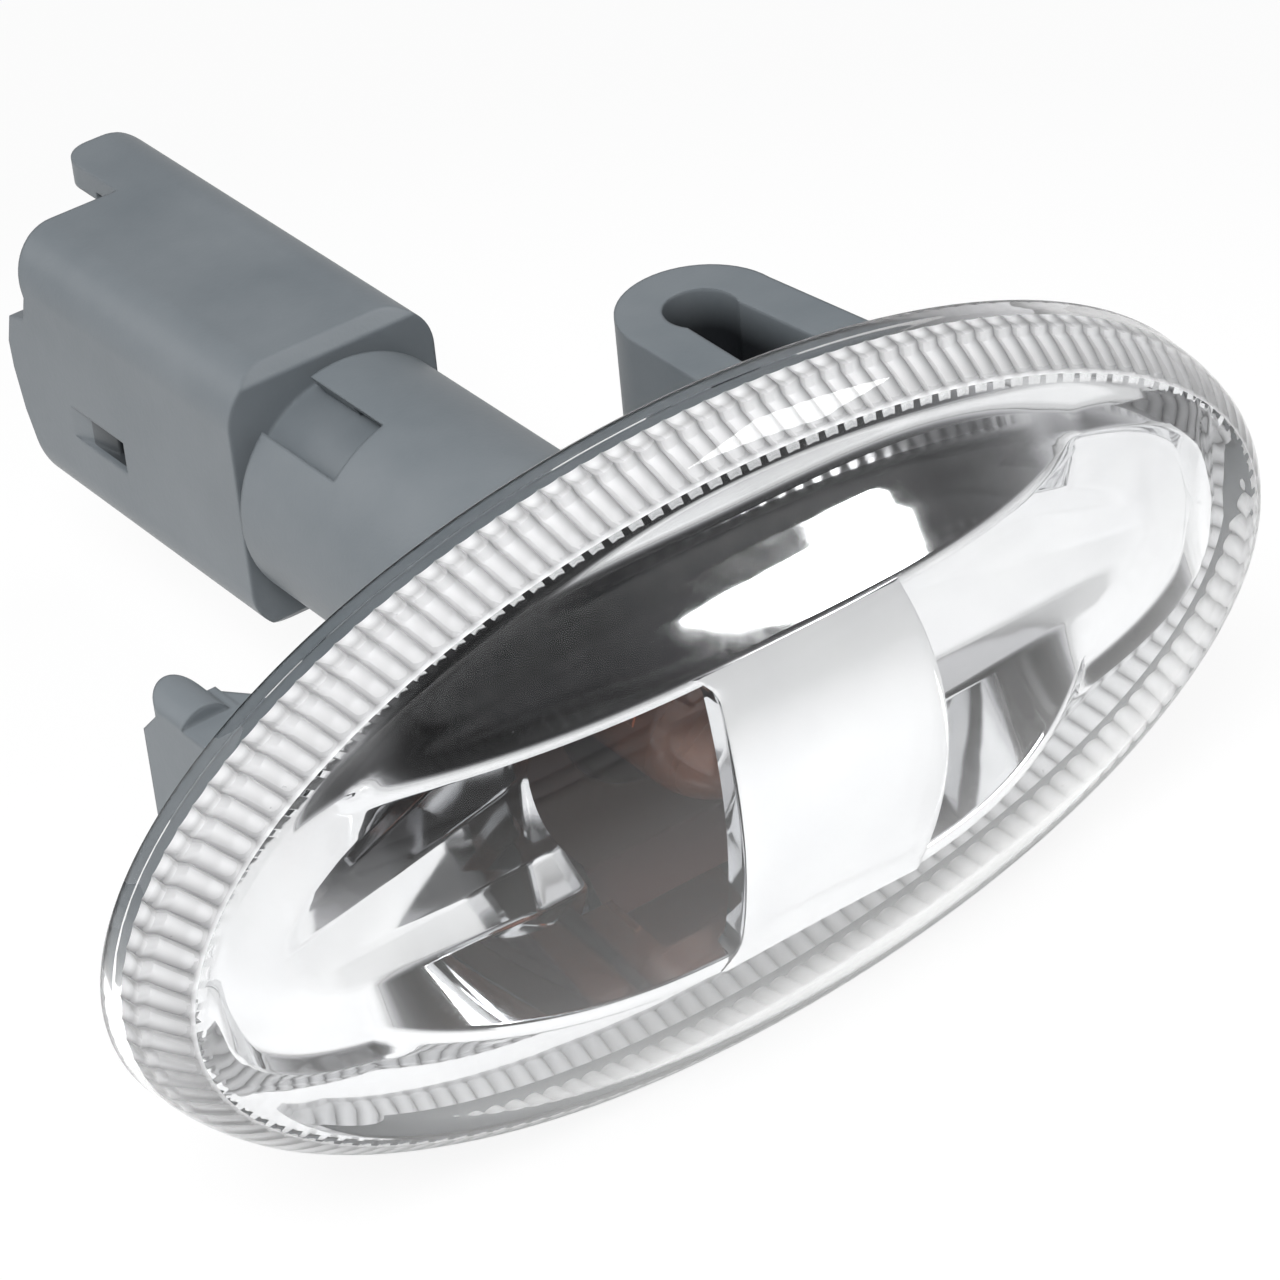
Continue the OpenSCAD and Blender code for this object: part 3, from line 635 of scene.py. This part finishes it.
def build_reflector():
    end = REFL_A - 0.3
    xs = sorted({round(-end * math.cos(math.pi * i / SECTION_STEPS), 4)
                 for i in range(SECTION_STEPS + 1)})
    fronts, backs = zip(*[sections(x) for x in xs])
    fronts = [eased(f, SECTION_EASE) for f in fronts]
    backs = [eased(b, SECTION_EASE) for b in backs]
    nf, nb = len(fronts[0]), len(backs[0])
    verts = [(x, y, z) for x, row in zip(xs, fronts) for z, y in row]
    base = len(verts)
    verts += [(x, y, z) for x, row in zip(xs, backs) for z, y in row]
    faces = []
    for r in range(len(xs) - 1):
        for i in range(nf - 1):
            a = r * nf + i
            faces.append((a, a + nf, a + nf + 1, a + 1))
        for i in range(nb - 1):
            a = base + r * nb + i
            faces.append((a, a + 1, a + nb + 1, a + nb))
        for a, b in ((r * nf, base + r * nb), (r * nf + nf - 1, base + r * nb + nb - 1)):
            faces.append((a, b, b + nb, a + nf))
    for r in (0, len(xs) - 1):
        faces.append(tuple([r * nf + i for i in range(nf)]
                           + [base + r * nb + i for i in reversed(range(nb))]))
    o = piece("reflector_fine", verts, faces, CHROME, "lamp", "reflector")
    face_outwards(o.data)
    hole = turned("hole", HOLE_PROFILE)
    slot_box = box_mesh("slot", (-SLOT_HALF, lip_y(0) + 2.6, -EYE_HALF - 0.1),
                        (SLOT_HALF, 4, EYE_HALF + 0.1))
    carve(o, [hole, slot_box])
    carve(o, [shield_mesh()], "UNION")
    smooth(o, 32)


# Rounded copies of the grey mouldings, a finer bulb and a coiled filament
WELD_DISTANCE, FLAT_ANGLE, EDGE_ANGLE, EDGE_STEPS = 2e-6, 0.8, 38, 2
GLASS_R, GLASS_TIP, GLASS_WALL, BULB_SIDES = 5.0, -5.5, 0.6, 64
GLASS_NECK = [(4.8, 11.0), (4.2, 11.9), (3.2, 12.8), (2.2, 13.5)]
HOLLOW_END = [(4.0, 9.7), (3.0, 10.0)]
WEDGE_LOW, WEDGE_HIGH = (-4.65, 12.3, -1.15), (4.65, 20.95, 1.15)
COIL_TURNS, COIL_STEPS, COIL_SPAN, COIL_R, COIL_WIRE, COIL_SIDES = 14, 10, 4.1, 0.2, 0.045, 6
COIL_Y, COIL_LEAN = 1.5, 0.12


def eased_copy(node, name, width):
    o = bpy.data.objects.new(name, NODES[node].data.copy())
    bpy.context.scene.collection.objects.link(o)
    bm = bmesh.new()
    bm.from_mesh(o.data)
    bmesh.ops.remove_doubles(bm, verts=bm.verts, dist=WELD_DISTANCE)
    bmesh.ops.dissolve_limit(bm, angle_limit=math.radians(FLAT_ANGLE), verts=bm.verts,
                             edges=bm.edges)
    bm.to_mesh(o.data)
    bm.free()
    mod = o.modifiers.new("ease", "BEVEL")
    mod.width, mod.segments, mod.limit_method = width * MM, EDGE_STEPS, "ANGLE"
    mod.angle_limit, mod.use_clamp_overlap = math.radians(EDGE_ANGLE), True
    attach(o, "lamp" if node == "housing" else "holder")
    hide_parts(node)
    smooth(o, EDGE_ANGLE)


def round_tip(radius, tip, count):
    return [(radius * math.sin(a), tip + radius - radius * math.cos(a))
            for a in np.linspace(0.0, math.pi / 2, count)]


def build_bulb():
    outer = round_tip(GLASS_R, GLASS_TIP, 20)
    outer += [(GLASS_R, y) for y in (2.0, 5.0, 8.0, 10.4)] + GLASS_NECK
    hollow_r = GLASS_R - GLASS_WALL
    inner = round_tip(hollow_r, GLASS_TIP + GLASS_WALL, 16)
    inner += [(hollow_r, y) for y in (3.0, 6.0, 9.0)] + HOLLOW_END
    verts, faces, count = [], [], BULB_SIDES

    def add(profile, flip):
        start = len(verts)
        verts.append((0, profile[0][1], 0))
        for r, y in profile[1:]:
            verts.extend(circle(r, y, count))
        for i in range(count):
            j = (i + 1) % count
            f = [(start, start + 1 + i, start + 1 + j)]
            for k in range(len(profile) - 2):
                a = start + 1 + k * count
                f.append((a + i, a + count + i, a + count + j, a + j))
            faces.extend(tuple(reversed(g)) if flip else g for g in f)
        last = start + 1 + (len(profile) - 2) * count
        cap = tuple(last + i for i in range(count))
        faces.append(tuple(reversed(cap)) if flip else cap)

    add(outer, False)
    add(inner, True)
    o = piece("bulb_fine", verts, faces, AMBER, "holder", "bulb_glass")
    carve(o, [box_mesh("base", WEDGE_LOW, WEDGE_HIGH)], "UNION")
    smooth(o, 40, False)


def build_filament():
    steps, radius = COIL_TURNS * COIL_STEPS, (COIL_R - COIL_WIRE) * 0.8
    verts = []
    for k in range(steps + 1):
        u = k / steps
        a = 2 * math.pi * COIL_TURNS * u
        c = Vector((-COIL_SPAN / 2 + COIL_SPAN * u, COIL_Y + radius * math.cos(a),
                    radius * math.sin(a)))
        t = Vector((COIL_SPAN / (2 * math.pi * COIL_TURNS), -COIL_LEAN * math.sin(a),
                    COIL_LEAN * math.cos(a))).normalized()
        n = t.cross(Vector((1, 0, 0))).normalized()
        b = t.cross(n)
        for i in range(COIL_SIDES):
            w = 2 * math.pi * i / COIL_SIDES
            verts.append(tuple(c + (n * math.cos(w) + b * math.sin(w)) * COIL_WIRE))
    faces = tube_faces(steps + 1, COIL_SIDES, False)
    o = piece("filament_coil", verts, faces, TUNGSTEN, "holder", "filament")
    smooth(o, 60, False)


build_lens()
build_reflector()
eased_copy("housing", "housing_fine", 0.22)
eased_copy("bulb_holder", "bulb_holder_fine", 0.25)
build_bulb()
build_filament()


# Floor, world and lamps, in metres.
# The room's stops run from straight down (0) to straight up (1), each with its brightness.
ROOM = [(0.5, 0.7), (0.56, 0.45), (0.62, 0.2), (0.7, 0.09), (0.78, 0.03), (0.85, 0.008)]
ROOM_BLUE, SOFT_STRENGTH = 1.02, 0.5
FLOOR_SIDE, FLOOR_ROUGHNESS, FLOOR_GLOW = 3.0, 0.9, 0.88
# The floor's painted pool of light: pale near the middle, greyer farther out
FLOOR_LIGHT_POOL = [(0.05, (0.8, 0.8, 0.8)), (0.12, (0.52, 0.52, 0.52))]


def world():
    """White behind the lamp; a pale room with a dark ceiling in the mirrors."""
    w = bpy.data.worlds.new("studio")
    bpy.context.scene.world = w
    w.use_nodes = True
    nt = w.node_tree
    nt.nodes.clear()
    out = nt.nodes.new("ShaderNodeOutputWorld")
    path = nt.nodes.new("ShaderNodeLightPath")
    white, soft, room = [nt.nodes.new("ShaderNodeBackground") for _ in range(3)]
    socket(white, "Color", (1, 1, 1, 1))
    socket(soft, "Color", (1, 1, 1, 1))
    socket(soft, "Strength", SOFT_STRENGTH)
    up_down = axes(nt, nt.nodes.new("ShaderNodeTexCoord").outputs["Generated"])[2]
    rise = remap(nt, up_down, 0.0, 1.0, -1.0, 1.0)
    stops = [(z, (g, g, g * ROOM_BLUE)) for z, g in ROOM]
    nt.links.new(ramp(nt, rise, stops), room.inputs["Color"])
    sharp = math_node(nt, "MAXIMUM", path.outputs["Is Glossy Ray"],
                      path.outputs["Is Transmission Ray"])
    lit = mix_shaders(nt, sharp, soft.outputs[0], room.outputs[0])
    seen = mix_shaders(nt, path.outputs["Is Camera Ray"], lit, white.outputs[0])
    nt.links.new(seen, out.inputs["Surface"])


def floor_material():
    """Matt, with a painted pool of light that makes it paler under the lamp, and nearly white to
    the camera.
    """
    m, nt, bsdf = new_material("floor")
    reach = nt.nodes.new("ShaderNodeVectorMath")
    reach.operation = "LENGTH"
    nt.links.new(coords(nt), reach.inputs[0])
    colour_by(nt, bsdf, reach.outputs["Value"], FLOOR_LIGHT_POOL)
    socket(bsdf, "Roughness", FLOOR_ROUGHNESS)
    path = nt.nodes.new("ShaderNodeLightPath")
    glow = nt.nodes.new("ShaderNodeEmission")
    part = math_node(nt, "MULTIPLY", path.outputs["Is Camera Ray"], FLOOR_GLOW)
    surface = mix_shaders(nt, part, bsdf.outputs["BSDF"], glow.outputs[0])
    nt.links.new(surface, node_of_type(nt, "OUTPUT_MATERIAL").inputs["Surface"])
    return m


def build_floor():
    mesh = bpy.data.meshes.new("floor")
    s = FLOOR_SIDE / 2
    mesh.from_pydata([(-s, -s, 0), (s, -s, 0), (s, s, 0), (-s, s, 0)], [], [(0, 1, 2, 3)])
    o = bpy.data.objects.new("floor", mesh)
    bpy.context.scene.collection.objects.link(o)
    o.matrix_world = Matrix.Translation(Vector((0, 0, LOW.z)))
    mesh.materials.append(floor_material())


def lamp(name, loc, target, size, power, mirrored=True):
    data = bpy.data.lights.new(name, "AREA")
    data.shape = "RECTANGLE"
    data.size, data.size_y = size
    data.energy = power
    o = bpy.data.objects.new(name, data)
    bpy.context.scene.collection.objects.link(o)
    o.visible_glossy = o.visible_transmission = mirrored
    aim = (Vector(target) - Vector(loc)).normalized()
    turn = aim.to_track_quat("-Z", "Y").to_matrix().to_4x4()
    o.matrix_world = Matrix.Translation(Vector(loc)) @ turn


world()
build_floor()
lamp("key", (-0.4, -0.3, 0.65), (0, 0.01, 0), (0.4, 0.3), 7.8, False)
lamp("spot", (0.347, -0.126, 0.473), (0, 0, 0), (0.2, 0.15), 1.0)
lamp("rim", (-0.45, 0.5, 0.4), (0, 0.04, 0), (0.6, 0.45), 1.0)


# Camera, as fitted to the photograph: angles, distance in metres, the rest in its pixels
AZIMUTH, ELEVATION, ROLL = math.radians(-34.14), math.radians(34.04), math.radians(-5.56)
DEPTH, FOCAL_PX, ORIGIN_PX, PHOTO_PX = 0.2957, 5037.6, (698.6, 710.7), 1280
SENSOR, CLIP_START = 36, 0.01


def build_camera():
    back = Vector((math.sin(AZIMUTH) * math.cos(ELEVATION),
                   -math.cos(AZIMUTH) * math.cos(ELEVATION), math.sin(ELEVATION)))
    right = Vector((math.cos(AZIMUTH), math.sin(AZIMUTH), 0))
    up = back.cross(right)
    c, s = math.cos(ROLL), math.sin(ROLL)
    right, up = right * c + up * s, up * c - right * s
    u = (ORIGIN_PX[0] - PHOTO_PX / 2) / FOCAL_PX * DEPTH
    v = -(ORIGIN_PX[1] - PHOTO_PX / 2) / FOCAL_PX * DEPTH
    data = bpy.data.cameras.new("camera")
    data.sensor_width = SENSOR
    data.lens = FOCAL_PX * SENSOR / PHOTO_PX
    data.clip_start = CLIP_START
    cam = bpy.data.objects.new("camera", data)
    bpy.context.scene.collection.objects.link(cam)
    place = Matrix((right, up, back)).transposed().to_4x4()
    place.translation = back * DEPTH - right * u - up * v
    cam.matrix_world = place
    bpy.context.scene.camera = cam


build_camera()
bpy.context.scene.view_settings.view_transform = "Standard"
